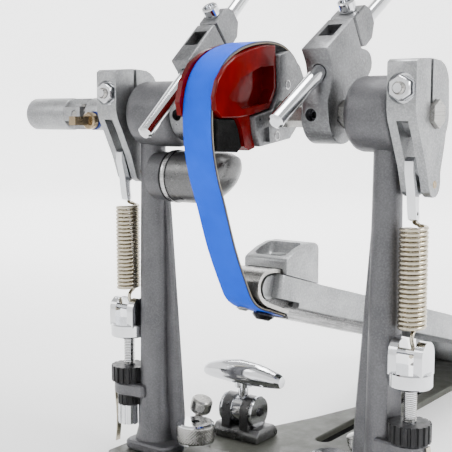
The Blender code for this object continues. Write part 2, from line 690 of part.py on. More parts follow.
def footboard():
    turn, spot = board_frame()
    end = board_length() - 9
    half = [
        (0, 0), (14, 0), (15, 2), (16, 45), (22, 80), (36, 125), (42, 165), (42, end - 30), (38, end),
        (0, end),
    ]
    outline = half + [(-x, y) for x, y in reversed(half[1:-1])]
    board = plate("footboard", outline, -16.5, 0, turn=turn, spot=spot)
    dress(board, "cast_silver", 1.2, 2)
    inner_half = [
        (0, 12), (11, 12), (12.5, 45), (18.5, 80), (32.5, 125), (38.5, 165), (38.5, end - 30),
        (35, end - 4), (0, end - 4),
    ]
    inner = inner_half + [(-x, y) for x, y in reversed(inner_half[1:-1])]
    hollow = plate("board_hollow", inner, -20, -4.5, turn=turn, spot=spot)
    relief = box("toe_relief", (-40, -5, -30), (40, 20.3, -13.2), turn, spot)
    cut(bare(board), hollow, relief)
    tongue = cylinder("tongue", 6.4, -9.6, 9.6, "X", (BOARD_TOE[0] - 5.6, BOARD_TOE[1] - 7.2), 28)
    web = box("tongue_web", (-9.6, -4, -12.4), (9.6, 5, -1.4), turn, spot)
    knuckle = cylinder("knuckle", 6.5, -29, 29, "X", HEEL_AXIS, 28)
    bridge = box("bridge", (-29, end - 6, -9.5), (29, end + 8, -0.6), turn, spot)
    join(board, tongue, web, knuckle, bridge)
    cut(board, cylinder("knuckle_bore", 3.2, -40, 40, "X", HEEL_AXIS, 20))
    rail = plate("under_rail", [
        (20.6, -13.2), (20.6, -20.5), (23, -23), (128, -23), (132, -16), (132, -13.2),
    ], -8.2, 8.2, turn=turn @ AXES["X"], spot=spot)
    grooves = [
        box("rail_groove", (low, 5, -19), (high, 140, -16.8), turn, spot)
        for low, high in ((5.6, 12), (-12, -5.6))
    ]
    dress(cut(rail, *grooves), "steel")
    return board


def toe_bracket():
    path = smooth_path([
        (12.5, 118.6), (2, 121.5), (-6, 122.5), (-12.8, 121.0), (-16.4, 116.6), (-15.8, 110.9),
        (-10.8, 105.9), (0, 101.45), (12.2, 97.1),
    ], 3)
    bracket = plate("toe_bracket", ribbon(path, 2.2), -11, 11)
    holes = [hole_across_slope("bracket_hole", x, y, 2.5) for x, y in ((0, 4), (-5, -8.9))]
    return dress(cut(bracket, *holes), "steel")


def toe_stop():
    """The cast toe stop: a scoop that opens to the drum, with a screw boss inside."""
    outline = (
        [(5, 112), (5, 127.2), (8, 128.9), (17, 132.2), (26, 134.2)] + arc(34.5, 129.5, 4.6, 80, 0, 4)
        + [(39.1, 104)]
    )
    stop = plate("toe_stop", outline, -14.5, 14.5)
    dress(stop, "cast_silver", 1.2, 2)
    turn = tilt_x(-BOARD_SLOPE)
    scoop = box("scoop", (-10.8, 8, 124.6), (10.8, 27.5, 150))
    dress(scoop, "cast_silver", 4.0, 3)
    boss = cylinder("screw_boss", 4.4, 118.5, 128.6, "Z", (0, 18.5), 20)
    cut(bare(stop), scoop)
    under = box("board_clearance", (-30, -20, -40), (30, 80, GAP), turn, (0, *BOARD_TOE))
    join(stop, boss)
    nose = box("bracket_clearance", (-11.6, -20, -3), (11.6, 14, 3.2), turn, (0, *BOARD_TOE))
    return cut(stop, under, nose)


def belt_fasteners():
    for name, x, y, r, height, look in (
        ("belt_bolt", 0, 4, 6.2, 5.0, "black"), ("belt_screw", -5, -8.9, 3.6, 2.6, "steel"),
    ):
        head = turned(name, [
            (0, 4.6), (2.0, 4.6), (2.0, -1.3), (r - 0.6, -1.3), (r, -1.9), (r, -height * 0.55),
            (r * 0.6, -height), (0, -height),
        ], sides=20)
        z = 99.05 - 0.353 * y
        head.matrix_world = Matrix.Translation(Vector((x, y, z)) * MM) @ tilt_x(-19.4).to_4x4()
        dress(head, look)


def heel():
    y, z = HEEL_AXIS
    outline = [
        (y + 8, 5.3), (y + 74, 5.3), (y + 76, 8), (y + 76, 15), (y + 73, 18), (y + 18, 30), (y + 8, 30),
    ]
    block = plate("heel_plate", outline, -37, 37)
    dress(block, "cast_silver", 1.2, 2)
    ears = [
        plate("ear", [(y + 12, 5.8), (y - 7, 5.8)] + arc(y, z, 7, 180, 60, 6) + [(y + 12, 28)], low, low + 7)
        for low in (-36.9, 29.9)
    ]
    join(bare(block), *ears)
    cut(block, cylinder("ear_bore", 2.85, -50, 50, "X", HEEL_AXIS, 20))
    pin = cylinder("heel_pin", 2.5, -37.5, 37.5, "X", HEEL_AXIS, 20)
    dress(pin, "steel")


# ---------------------------------------------------------------- hoop clamp and spurs


def hoop_jaw():
    """The lever that pinches the drum's hoop against the plate, and its pin."""
    y, z = JAW_PIVOT
    jaw = plate("hoop_jaw", arc(y, z, 5.8, -60, 60, 5) + [
        (-18, 18.5), (-30, 26), (-42, 29), (-49, 27.5), (-52, 23.5), (-52, 20), (-50.5, 19.5), (-30, 19.5),
        (-24, 14), (-19, 7.5), (-15.5, 6.4),
    ], -17.5, 17.5)
    dress(jaw, "olive", 1.0, 2)
    cut(bare(jaw), cylinder("pin_hole", 2.9, -30, 30, "X", JAW_PIVOT, 20))
    dress(cylinder("jaw_pin", 2.5, -22.4, 22.4, "X", JAW_PIVOT, 20), "steel")


def hoop_clamp():
    """The side clamp's body with two ears, and the eye bolt between them."""
    low_x, high_x = CLAMP_X - 16.5, CLAMP_X + 17.6
    block = plate("clamp_block", [
        (CLAMP_Y - 10.5, 5.3), (CLAMP_Y + 13, 5.3), (CLAMP_Y + 13, 9), (CLAMP_Y + 9, 13.4),
        (CLAMP_Y - 7, 13.4), (CLAMP_Y - 10.5, 10),
    ], low_x, high_x)
    dress(block, "cast_silver", 1.0, 2)
    at = (CLAMP_Y, CLAMP_EYE_Z)
    ears = [
        plate("ear", [(CLAMP_Y - 9.6, 12), (CLAMP_Y - 9.6, 20)] + arc(*at, 9.6, 170, 10, 10)
              + [(CLAMP_Y + 9.6, 20), (CLAMP_Y + 9.6, 12)], CLAMP_X + low, CLAMP_X + low + 6.2)
        for low in (-10, 3.8)
    ]
    pin = cylinder("ear_pin", 2.5, CLAMP_X - 11.4, CLAMP_X + 11.4, "X", at, 20)
    join(bare(block), *ears, pin)
    eye = cylinder("clamp_eye", 8.6, CLAMP_X - 3.4, CLAMP_X + 3.4, "X", at, 32)
    dress(eye, "chrome", 0.5, 1)
    join(bare(eye), cylinder("eye_neck", 3.2, CLAMP_EYE_Z + 5, 36.8, "Z", (CLAMP_X, CLAMP_Y), 24))
    cut(eye, cylinder("eye_hole", 2.9, CLAMP_X - 9, CLAMP_X + 9, "X", at, 20))
    wing()


def wing():
    """The T handle: a bar that swells in the middle, with blunt rounded ends, over a short neck."""
    mesh = bpy.data.meshes.new("clamp_wing")
    bm = bmesh.new()
    bmesh.ops.create_uvsphere(bm, u_segments=20, v_segments=14, radius=1, matrix=AXES["X"].to_4x4())
    for vert in bm.verts:
        x, y, z = vert.co
        across = math.hypot(y, z) + 1e-6
        along = math.copysign(abs(x) ** 0.55, x)
        girth = across ** -0.75 * (1 - 0.4 * abs(along) ** 1.4)
        vert.co = Vector((29.3 * along, 8.2 * y * girth, 8.4 * z * girth - 2.4 * along * along)) * MM
    bm.to_mesh(mesh)
    bm.free()
    mesh.shade_smooth()
    handle = put("clamp_wing", mesh, (CLAMP_X, CLAMP_Y, 46.4))
    neck = cylinder("wing_neck", 5.6, 37.1, 44, "Z", (CLAMP_X, CLAMP_Y), 24)
    return dress(join(handle, neck), "chrome")


def spur(side):
    sign = -1 if side == "left" else 1
    x = sign * SPUR_X
    collar = turned("spur_collar_" + side, [
        (0, 26.2), (SPUR_R - 0.9, 26.2), (SPUR_R, 25.3), (SPUR_R, 14), (SPUR_R - 2, 13),
        (SPUR_R - 2, 5.3), (0, 5.3),
    ], spot=(x, SPUR_Y, 0), sides=28)
    dress(cut(collar, cylinder("key_hole", 2.6, 20, 30, "Z", (x, SPUR_Y), 16)), "chrome")
    lean = Matrix.Rotation(math.radians(16), 3, "Y")
    screw = turned("lock_screw_" + side, [
        (0, 24.4), (5.4, 24.4), (6.3, 23.6), (6.3, 16.6), (5.6, 15.8), (2.2, 15.8), (2.2, 4.2),
        (4.2, 4.2), (4.2, 1.0), (0, 1.0),
    ], spot=(sign * 60, 16.5, 11.4), sides=20, turn=lean if sign < 0 else lean.inverted())
    return dress(screw, "steel")


# ---------------------------------------------------------------- moving bodies


def moving_bodies():
    """Pivot of each moving body and the names of the parts that hang from it."""
    bodies = {
        "main_axle": ((0, 0, AXLE_Z), [
            "main_shaft", "hub_right", "hub_cap_right", "cap_bolt_right", "rocker_right", "rocker_bolt_right",
            "cam", "cam_carrier", "cam_felt",
        ]),
        "second_axle": ((0, 0, AXLE_Z), [
            "second_shaft", "hub_left", "hub_cap_left", "cap_bolt_left", "rocker_left",
            "rocker_bolt_left", "ujoint_yoke", "ujoint_key_bolt", "key_washer",
        ]),
        "belt_run": ((0, *BELT_PIVOT), ["belt"]),
        "ujoint_cross": ((UJOINT_X, 0, AXLE_Z), ["ujoint_cross"]),
        "ujoint_socket": ((UJOINT_X, 0, AXLE_Z), ["ujoint_socket"]),
        "footboard": ((0, *HEEL_AXIS), [
            "footboard", "under_rail", "toe_bracket", "toe_stop", "belt_bolt", "belt_screw",
        ]),
        "hoop_jaw": ((0, *JAW_PIVOT), ["hoop_jaw"]),
        "clamp_eye": ((CLAMP_X, CLAMP_Y, CLAMP_EYE_Z), ["clamp_eye"]),
        "clamp_wing": ((CLAMP_X, CLAMP_Y, CLAMP_EYE_Z), ["clamp_wing"]),
    }
    for side, sign in (("left", -1), ("right", 1)):
        x = sign * SPRING_X
        rod_spot = along_rod(side, 0, ROD_OFFSET[side])
        bodies["beater_" + side] = (rod_spot, ["beater_rod_" + side, "beater_head_" + side])
        bodies["spring_swing_" + side] = ((x, SPRING_Y, SPRING_ANCHOR_Z), ["spring_" + side])
        bodies["stirrup_" + side] = ((x, SPRING_Y, SPRING_ANCHOR_Z), ["stirrup_" + side])
        bodies["tension_wheel_" + side] = ((x, SPRING_Y, 49), ["tension_wheel_" + side])
        bodies["spur_" + side] = ((sign * SPUR_X, SPUR_Y, 14), ["spur_collar_" + side])
    return bodies


def hang_on_pivots():
    for body, (spot, names) in moving_bodies().items():
        pivot = bpy.data.objects.new("pivot_" + body, None)
        PARTS.objects.link(pivot)
        pivot.location = Vector(spot) * MM
        for name in names:
            obj = bpy.data.objects[name]
            obj.parent = pivot
            obj.matrix_parent_inverse = Matrix.Translation(-Vector(spot) * MM)


def main():
    base_plate()
    stop_barrel()
    for side in ("left", "right"):
        post(side)
        adjuster(side)
        spring(side)
        stirrup(side)
        rocker(side)
        hub(side)
        beater(side)
        spur(side)
    cam()
    cam_carrier()
    cam_felt()
    belt()
    shafts()
    universal_joint()
    footboard()
    toe_bracket()
    toe_stop()
    belt_fasteners()
    heel()
    hoop_jaw()
    hoop_clamp()
    hang_on_pivots()


PARTS, CUTTERS = clear_scene()
main()
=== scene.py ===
"""Looks for a double bass drum pedal: materials, coils, threads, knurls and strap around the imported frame."""

import math

import bmesh
import bpy
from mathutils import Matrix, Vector


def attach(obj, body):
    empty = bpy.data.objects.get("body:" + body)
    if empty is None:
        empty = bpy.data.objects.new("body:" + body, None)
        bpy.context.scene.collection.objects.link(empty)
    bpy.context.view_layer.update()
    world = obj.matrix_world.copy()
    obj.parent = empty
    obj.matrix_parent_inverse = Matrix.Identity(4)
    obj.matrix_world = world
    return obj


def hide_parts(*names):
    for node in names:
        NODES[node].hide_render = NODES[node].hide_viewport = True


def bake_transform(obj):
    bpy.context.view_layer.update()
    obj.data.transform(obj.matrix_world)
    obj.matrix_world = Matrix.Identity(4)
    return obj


MM = 0.001
# sizes in millimetres, the same as the frame's
AXLE_Z = 207.0
SPRING_X, SPRING_Y = 94.0, -4.5
BELT_X = (-10.0, 8.5)
BELT_THICK = 1.8
BOARD_SLOPE = 15.9
SIDES = {"left": -1, "right": 1}
AXLE_BODY = {"left": "second_axle", "right": "main_axle"}
HUB_BOSS = {"left": (-52.0, -38.0), "right": (35.0, 50.5)}
# relief of the metals and plastics
SCRATCH, BRUSH_DEPTH, SPARK_PIT = 0.008, 0.012, 0.05

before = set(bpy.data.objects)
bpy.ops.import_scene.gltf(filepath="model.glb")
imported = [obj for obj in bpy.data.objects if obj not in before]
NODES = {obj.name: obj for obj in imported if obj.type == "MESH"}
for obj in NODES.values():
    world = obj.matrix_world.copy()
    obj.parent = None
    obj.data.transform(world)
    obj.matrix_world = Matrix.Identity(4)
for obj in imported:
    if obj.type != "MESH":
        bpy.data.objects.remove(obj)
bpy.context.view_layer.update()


# ---------------------------------------------------------------- materials

class Graph:
    """A material's node tree, with short calls for the nodes that the looks share."""

    def __init__(self, name, colour, rough, metal=0.0):
        self.mat = bpy.data.materials.new(name)
        self.mat.use_nodes = True
        self.tree = self.mat.node_tree
        self.shader = self.tree.nodes["Principled BSDF"]
        self.set(self.shader, {"Base Color": (*colour, 1), "Roughness": rough, "Metallic": metal})
        self.coords = self.tree.nodes.new("ShaderNodeTexCoord").outputs["Object"]
        self.normal = None
        self.mat.diffuse_color = (*colour, 1)

    def set(self, node, values):
        for key, value in values.items():
            node.inputs[key].default_value = value

    def node(self, kind, links=None, **values):
        made = self.tree.nodes.new("ShaderNode" + kind)
        self.set(made, {key.replace("_", " "): value for key, value in values.items()})
        for key, source in (links or {}).items():
            self.tree.links.new(source, made.inputs[key])
        return made

    def stretched(self, scale, tilt=0.0):
        """The object coordinates, turned tilt degrees about X and scaled differently along each axis."""
        turned = self.node("Mapping", {"Vector": self.coords}, Rotation=(math.radians(tilt), 0, 0))
        return self.node("Mapping", {"Vector": turned.outputs["Vector"]}, Scale=scale).outputs["Vector"]

    def noise(self, scale, detail=3.0, rough=0.55, vector=None):
        links = {"Vector": vector or self.coords}
        return self.node("TexNoise", links, Scale=scale, Detail=detail, Roughness=rough).outputs["Fac"]

    def ramp(self, fac, low, high, start=0.3, end=0.7):
        made = self.tree.nodes.new("ShaderNodeValToRGB")
        self.tree.links.new(fac, made.inputs["Fac"])
        first, last = made.color_ramp.elements
        first.position, last.position = start, end
        first.color, last.color = [(*c, 1) if isinstance(c, tuple) else (c, c, c, 1) for c in (low, high)]
        return made.outputs["Color"]

    def mix(self, fac, a, b):
        made = self.tree.nodes.new("ShaderNodeMix")
        made.data_type = "RGBA"
        for socket, value in ((made.inputs["Factor"], fac), (made.inputs["A"], a), (made.inputs["B"], b)):
            if isinstance(value, tuple):
                socket.default_value = (*value, 1)
            else:
                self.tree.links.new(value, socket)
        return made.outputs["Result"]

    def to(self, socket, source):
        self.tree.links.new(source, self.shader.inputs[socket])

    def bump(self, height, distance, strength=1.0):
        """Adds one layer of relief over the layers before it."""
        made = self.node("Bump", {"Height": height}, Distance=distance * MM, Strength=strength)
        if self.normal is not None:
            self.tree.links.new(self.normal, made.inputs["Normal"])
        self.normal = made.outputs["Normal"]
        self.tree.links.new(self.normal, self.shader.inputs["Normal"])


def cast(name, dark, light, metal, rough, pit, grain):
    """Blasted casting: fine pits, clouded tone, brighter on the raised grains."""
    g = Graph(name, light, rough, metal)
    cloud, speck = g.noise(45, 4), g.noise(grain, 2, 0.7)
    tone = g.ramp(cloud, dark, light, 0.25, 0.75)
    raised = tuple(min(1, c * 1.7) for c in light)
    g.to("Base Color", g.mix(g.ramp(speck, 0.0, 0.34, 0.42, 0.72), tone, raised))
    g.to("Roughness", g.ramp(g.noise(160, 3), rough - 0.07, rough + 0.1))
    g.bump(speck, pit)
    g.bump(g.noise(230, 3), pit * 1.6, 0.5)
    return g.mat


def polished(name, colour, rough):
    """Plated or polished metal: hairline scratches in one direction and faint smears."""
    g = Graph(name, colour, rough, 1.0)
    smear = g.noise(70, 4, 0.6)
    g.to("Base Color", g.ramp(smear, tuple(c * 0.88 for c in colour), colour, 0.2, 0.6))
    g.to("Roughness", g.ramp(g.noise(210, 4, 0.7), max(0.02, rough - 0.05), rough + 0.1))
    g.bump(g.noise(300, 3, 0.6, g.stretched((1, 9, 1))), SCRATCH)
    return g.mat


def brushed(name, dark, light, rough, along, tilt=0.0):
    """Drawn or turned metal whose lines run along one axis, turned tilt degrees about X."""
    g = Graph(name, light, rough, 1.0)
    squeeze = [60.0, 60.0, 60.0]
    squeeze["XYZ".index(along)] = 1.0
    lines = g.noise(26, 3, 0.7, g.stretched(squeeze, tilt))
    g.to("Base Color", g.ramp(lines, dark, light, 0.3, 0.7))
    g.to("Roughness", g.ramp(g.noise(90, 3), rough - 0.06, rough + 0.1))
    g.bump(lines, BRUSH_DEPTH)
    return g.mat


def painted(name, dark, light, rough, pit, metal):
    """Powder coat: an orange-peel skin with fine pale specks."""
    g = Graph(name, light, rough, metal)
    tone = g.ramp(g.noise(30, 4), dark, light, 0.25, 0.75)
    specks = g.ramp(g.noise(1500, 1), 0.0, 0.22, 0.45, 0.7)
    g.to("Base Color", g.mix(specks, tone, tuple(c * 1.8 for c in light)))
    g.to("Roughness", g.ramp(g.noise(120, 3), rough - 0.06, rough + 0.12))
    g.bump(g.noise(420, 2, 0.6), pit)
    return g.mat


def moulded(name, colour, rough):
    """Moulded plastic or rubber with a light spark-eroded texture."""
    g = Graph(name, colour, rough)
    g.set(g.shader, {"Specular IOR Level": 0.3})
    g.to("Base Color", g.ramp(g.noise(60, 3), tuple(c * 0.7 for c in colour), colour, 0.2, 0.7))
    g.to("Roughness", g.ramp(g.noise(300, 3), rough - 0.08, rough + 0.12))
    g.bump(g.noise(1100, 2), SPARK_PIT)
    return g.mat


def glossy_red():
    """Deep red plastic that lets a little light through, with flow lines under a wet gloss."""
    g = Graph("ruby_polycarbonate", (0.3, 0.002, 0.003), 0.1)
    g.set(g.shader, {"IOR": 1.38, "Specular IOR Level": 0.14, "Transmission Weight": 0.2})
    flow = g.noise(30, 3, 0.6, g.stretched((1.0, 2.2, 1.4)))
    g.to("Base Color", g.ramp(flow, (0.06, 0.0, 0.0), (0.15, 0.0, 0.0), 0.3, 0.7))
    g.to("Roughness", g.ramp(g.noise(120, 3), 0.07, 0.16))
    g.bump(g.noise(55, 2), 0.05)
    return g.mat


def felt(name, dark, light):
    """Pressed wool: matted short fibres with a soft fuzz."""
    g = Graph(name, light, 0.95)
    g.set(g.shader, {"Specular IOR Level": 0.04})
    strands = g.noise(900, 4, 0.75, g.stretched((1.0, 1.0, 2.6)))
    matted = g.noise(260, 5, 0.7)
    g.to("Base Color", g.mix(g.ramp(strands, 0.0, 0.6, 0.35, 0.7), g.ramp(matted, dark, light), light))
    g.bump(matted, 0.5)
    g.bump(strands, 0.22)
    return g.mat


def strap_blue():
    """Coated blue webbing: a fine twill under the colour, a little scuffed."""
    g = Graph("strap_blue", (0.05, 0.2, 0.75), 0.48)
    g.set(g.shader, {"Specular IOR Level": 0.08})
    along = {"Vector": g.stretched((1.0, 0.8, 0.8))}
    twill = g.node("TexWave", along, Scale=420.0, Distortion=0.6, Detail=1.0)
    twill.bands_direction = "DIAGONAL"
    blotch = g.ramp(g.noise(34, 4), (0.0, 0.06, 0.62), (0.0, 0.09, 0.8), 0.3, 0.7)
    threads = g.ramp(twill.outputs["Fac"], 0.0, 0.16, 0.3, 0.8)
    g.to("Base Color", g.mix(threads, blotch, (0.0, 0.12, 0.8)))
    g.to("Roughness", g.ramp(g.noise(200, 4), 0.4, 0.58))
    g.bump(twill.outputs["Fac"], 0.05)
    g.bump(g.noise(700, 2), 0.03)
    return g.mat


def strap_back():
    """The strap's dark woven backing, seen at its edges."""
    g = Graph("strap_backing", (0.03, 0.032, 0.036), 0.85)
    weave = g.node("TexWave", {"Vector": g.coords}, Scale=650.0, Distortion=1.5, Detail=2.0)
    ribs = weave.outputs["Fac"]
    g.to("Base Color", g.ramp(ribs, (0.012, 0.012, 0.014), (0.075, 0.078, 0.085), 0.3, 0.8))
    g.bump(ribs, 0.12)
    return g.mat


LOOKS = {
    "grey_casting": cast("hammered_grey", (0.075, 0.075, 0.08), (0.125, 0.125, 0.132), 0.62, 0.42, 0.1, 1100),
    "silver_casting": cast("blasted_silver", (0.2, 0.205, 0.21), (0.37, 0.375, 0.38), 0.92, 0.36, 0.12, 1000),
    "chrome": polished("chrome_plate", (0.74, 0.75, 0.77), 0.07),
    "steel": brushed("drawn_steel", (0.27, 0.265, 0.25), (0.52, 0.51, 0.49), 0.28, "Y"),
    "olive_plate": painted("olive_powder_coat", (0.04, 0.042, 0.034), (0.066, 0.068, 0.056), 0.45, 0.05, 0.2),
    "black_plastic": moulded("black_nylon", (0.009, 0.009, 0.01), 0.4),
    "black_steel": polished("blackened_steel", (0.045, 0.045, 0.05), 0.26),
    "black_felt": felt("black_felt", (0.002, 0.002, 0.002), (0.012, 0.012, 0.012)),
    "white_felt": felt("white_felt", (0.6, 0.58, 0.54), (0.86, 0.84, 0.8)),
    "red_plastic": glossy_red(),
    "blue_strap": strap_blue(),
    "brass_screw": polished("bronzed_screw", (0.35, 0.27, 0.17), 0.24),
    "blue_nylon": moulded("blue_nylon", (0.012, 0.035, 0.22), 0.38),
}
SPRING_STEEL = polished("nickelled_spring_wire", (0.5, 0.455, 0.36), 0.2)
# near-black stand-in for the painted shade at the bottom of the set screws' sockets
SOCKET_SHADE = moulded("socket_shadow", (0.012, 0.012, 0.012), 0.6)
BACKING = strap_back()
CORE_THREAD = moulded("strap_core_thread", (0.3, 0.26, 0.2), 0.8)
SATIN = cast("satin_stub", (0.09, 0.09, 0.09), (0.15, 0.15, 0.15), 0.95, 0.3, 0.05, 1300)
RAIL = brushed("drawn_rail", (0.12, 0.12, 0.12), (0.4, 0.4, 0.4), 0.24, "Y", BOARD_SLOPE)
KNURLED = polished("knurled_nickel", (0.36, 0.355, 0.34), 0.22)
HUB_CAST = cast("coarse_grey_casting", (0.1, 0.102, 0.106), (0.21, 0.213, 0.218), 0.9, 0.34, 0.16, 760)
TURNED = brushed("turned_ring", (0.24, 0.24, 0.24), (0.62, 0.62, 0.62), 0.2, "X")


# ---------------------------------------------------------------- smooth shading of the CAD bodies

WELD_M = 2e-6


def smoothing_group(angle):
    """Joins the facets' corners and shades them as one, except across edges sharper than angle degrees."""
    group = bpy.data.node_groups.new("smooth_by_angle", "GeometryNodeTree")
    group.interface.new_socket("Geometry", in_out="INPUT", socket_type="NodeSocketGeometry")
    group.interface.new_socket("Geometry", in_out="OUTPUT", socket_type="NodeSocketGeometry")
    kinds = {
        "start": "NodeGroupInput", "weld": "GeometryNodeMergeByDistance",
        "edge": "GeometryNodeInputMeshEdgeAngle",
        "over": "FunctionNodeCompare", "normal": "GeometryNodeSetMeshNormal", "end": "NodeGroupOutput",
    }
    n = {key: group.nodes.new(kind) for key, kind in kinds.items()}
    n["weld"].inputs["Distance"].default_value = WELD_M
    n["over"].data_type, n["over"].operation = "FLOAT", "GREATER_THAN"
    n["over"].inputs["B"].default_value = math.radians(angle)
    n["normal"].mode = "SHARPNESS"
    for source, out, target, into in (
        ("start", "Geometry", "weld", "Geometry"), ("weld", "Geometry", "normal", "Mesh"),
        ("edge", "Unsigned Angle", "over", "A"), ("over", "Result", "normal", "Edge Sharpness"),
        ("normal", "Mesh", "end", "Geometry"),
    ):
        group.links.new(n[source].outputs[out], n[target].inputs[into])
    return group


SMOOTH = smoothing_group(34)
CRISP = smoothing_group(21)


def dress_frame():
    """Gives every CAD node its slot's material and smooth shading."""
    for name, node in NODES.items():
        for slot in node.material_slots:
            slot.material = LOOKS[slot.material.name.split(".")[0]]
        node.modifiers.new("smooth", "NODES").node_group = CRISP if name == "cam" else SMOOTH
    own_looks = {"stop_barrel": SATIN, "clamp_block": SATIN, "under_rail": RAIL, "cam_carrier": HUB_CAST}
    own_looks.update({f"{part}_{side}": HUB_CAST for part in ("hub", "hub_cap") for side in SIDES})
    for name, look in own_looks.items():
        NODES[name].material_slots[0].material = look


# ---------------------------------------------------------------- mesh tools

def solid(name, points, faces, material, body, sharp=35):
    """A closed mesh, given in millimetres, that rides on a body."""
    mesh = bpy.data.meshes.new(name)
    mesh.from_pydata([Vector(p) * MM for p in points], [], faces)
    bm = bmesh.new()
    bm.from_mesh(mesh)
    bmesh.ops.remove_doubles(bm, verts=bm.verts, dist=1e-6)
    bmesh.ops.recalc_face_normals(bm, faces=bm.faces)
    bm.to_mesh(mesh)
    bm.free()
    mesh.shade_smooth()
    mesh.set_sharp_from_angle(angle=math.radians(sharp))
    obj = bpy.data.objects.new(name, mesh)
    bpy.context.scene.collection.objects.link(obj)
    for each in material if isinstance(material, list) else [material]:
        mesh.materials.append(each)
    if body:
        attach(obj, body)
    return obj


def across(direction):
    """Two unit vectors square to a direction and to each other."""
    d = Vector(direction).normalized()
    side = d.cross(Vector((0, 0, 1) if abs(d.z) < 0.9 else (1, 0, 0))).normalized()
    return side, d.cross(side)


def lathe(name, profile, at, direction, material, body, sides=48, wobble=None, sharp=35):
    """Turns (radius, distance) pairs round a line. wobble(radius, turn, distance) returns the real radius."""
    u, v = across(direction)
    d, origin = Vector(direction).normalized(), Vector(at)
    points, faces = [], []
    for r, h in profile:
        for i in range(sides):
            turn = 2 * math.pi * i / sides
            real = wobble(r, turn, h) if wobble else r
            points.append(origin + d * h + (u * math.cos(turn) + v * math.sin(turn)) * real)
    for k in range(len(profile) - 1):
        for i in range(sides):
            j = (i + 1) % sides
            faces.append((k * sides + i, k * sides + j, (k + 1) * sides + j, (k + 1) * sides + i))
    if profile[0] != profile[-1]:
        faces += [tuple(range(sides)), tuple(range((len(profile) - 1) * sides, len(profile) * sides))]
    return solid(name, points, faces, material, body, sharp)


def directions(path):
    """The unit vector along a path at each of its points."""
    last = len(path) - 1
    return [(path[min(i + 1, last)] - path[max(i - 1, 0)]).normalized() for i in range(last + 1)]


def wire(name, path, r, material, body, sides):
    """A round wire along a path, with closed ends."""
    path = [Vector(p) for p in path]
    tangents = directions(path)
    normal = across(tangents[0])[0]
    points, faces = [], []
    for i, (p, t) in enumerate(zip(path, tangents)):
        normal = (normal - t * normal.dot(t)).normalized()
        side = t.cross(normal)
        for k in range(sides):
            turn = 2 * math.pi * k / sides
            points.append(p + (normal * math.cos(turn) + side * math.sin(turn)) * r)
        if i:
            for k in range(sides):
                j = (k + 1) % sides
                faces.append(((i - 1) * sides + k, (i - 1) * sides + j, i * sides + j, i * sides + k))
    faces += [tuple(range(sides)), tuple(range(len(points) - sides, len(points)))]
    return solid(name, points, faces, material, body, 60)


def smooth_path(points, steps):
    """Points on a Catmull-Rom curve through the given ones."""
    pts = [Vector(p) for p in points]
    pts = [pts[0] * 2 - pts[1]] + pts + [pts[-1] * 2 - pts[-2]]
    found = []
    for a, b, c, d in zip(pts, pts[1:], pts[2:], pts[3:]):
        for k in range(steps):
            t = k / steps
            found.append(0.5 * (
                2 * b + (c - a) * t + (2 * a - 5 * b + 4 * c - d) * t * t + (3 * b - a - 3 * c + d) * t ** 3
            ))
    return found + [pts[-2]]


def thread(name, at, low, high, r, pitch, material, body, direction=(0, 0, 1), height=0.42):
    """A helical ridge round a rod: the crest of its thread."""
    u, v = across(direction)
    d, origin, steps = Vector(direction).normalized(), Vector(at), 20
    section = ((-0.45, -0.25), (0.0, height), (0.45, -0.25))
    turns = (high - low) / pitch
    points, faces = [], []
    count = int(turns * steps)
    for i in range(count + 1):
        angle = 2 * math.pi * i / steps
        fade = min(1.0, i / steps, (count - i) / steps)
        out = u * math.cos(angle) + v * math.sin(angle)
        middle = origin + d * (low + (high - low) * i / count)
        points += [
            middle + out * (r - 0.1 + (rise + 0.1) * fade) + d * along * pitch for along, rise in section
        ]
        if i:
            a, b = 3 * (i - 1), 3 * i
            faces += [(a + k, a + (k + 1) % 3, b + (k + 1) % 3, b + k) for k in range(3)]
    faces += [(0, 1, 2), (3 * count, 3 * count + 1, 3 * count + 2)]
    return solid(name, points, faces, material, body, 50)


def knurled(name, r, low, high, at, direction, body, teeth=40, depth=0.5, rows=26):
    """A ring of diamond knurling, proud of the collar that it wraps. Its ridges fade out at both ends."""
    span, inner = high - low, r - 0.8
    fade = 0.08 * span
    per_turn = teeth / (2 * math.pi)

    def diamonds(radius, turn, h):
        if radius < r:
            return radius
        around, along = turn * per_turn, (h - low) * per_turn / r
        ridge = abs((around + along) % 1 - 0.5) + abs((around - along) % 1 - 0.5)
        return r + depth * ridge * min(1.0, (h - low) / fade, (high - h) / fade)

    profile = [(inner, low)] + [(r, low + span * k / rows) for k in range(rows + 1)]
    profile += [(inner, high), (inner, low)]
    return lathe(name, profile, at, direction, KNURLED, body, 4 * teeth, diamonds, 60)


# ---------------------------------------------------------------- pieces

def coil(side):
    """The return spring: closed coils between two hooks."""
    x = SIDES[side] * SPRING_X
    turns, low, high, r, wire_r, steps = 22, 101.7, 152.4, 6.2, 1.1, 32
    path = []
    for i in range(turns * steps + 1):
        angle = math.pi / 2 + 2 * math.pi * i / steps
        z = low + (high - low) * i / (turns * steps)
        path.append((x + r * math.cos(angle), SPRING_Y + r * math.sin(angle), z))
    bottom = smooth_path([
        (x + 0.4, SPRING_Y - 1.2, 88.0), (x, SPRING_Y + 1.6, 88.2), (x - 0.2, SPRING_Y + 2.6, 91.0),
        (x - 0.5, SPRING_Y + 1.2, 95.5), (x - 0.6, SPRING_Y + 2.0, 98.6), (x - 0.6, SPRING_Y + 5.0, 100.6),
    ], 6)
    top = smooth_path([
        (x - 0.6, SPRING_Y + 5.2, 153.3), (x - 1.0, SPRING_Y + 2.4, 154.3), (x - 0.4, SPRING_Y + 0.9, 156.4),
        (x - 0.4, SPRING_Y + 1.0, 158.6), (x - 0.3, SPRING_Y - 0.6, 160.4), (x, SPRING_Y - 2.6, 160.0),
    ], 6)
    made = wire("spring_coil_" + side, bottom + path + top, wire_r, SPRING_STEEL, None, 10)
    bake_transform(made)
    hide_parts("spring_" + side)


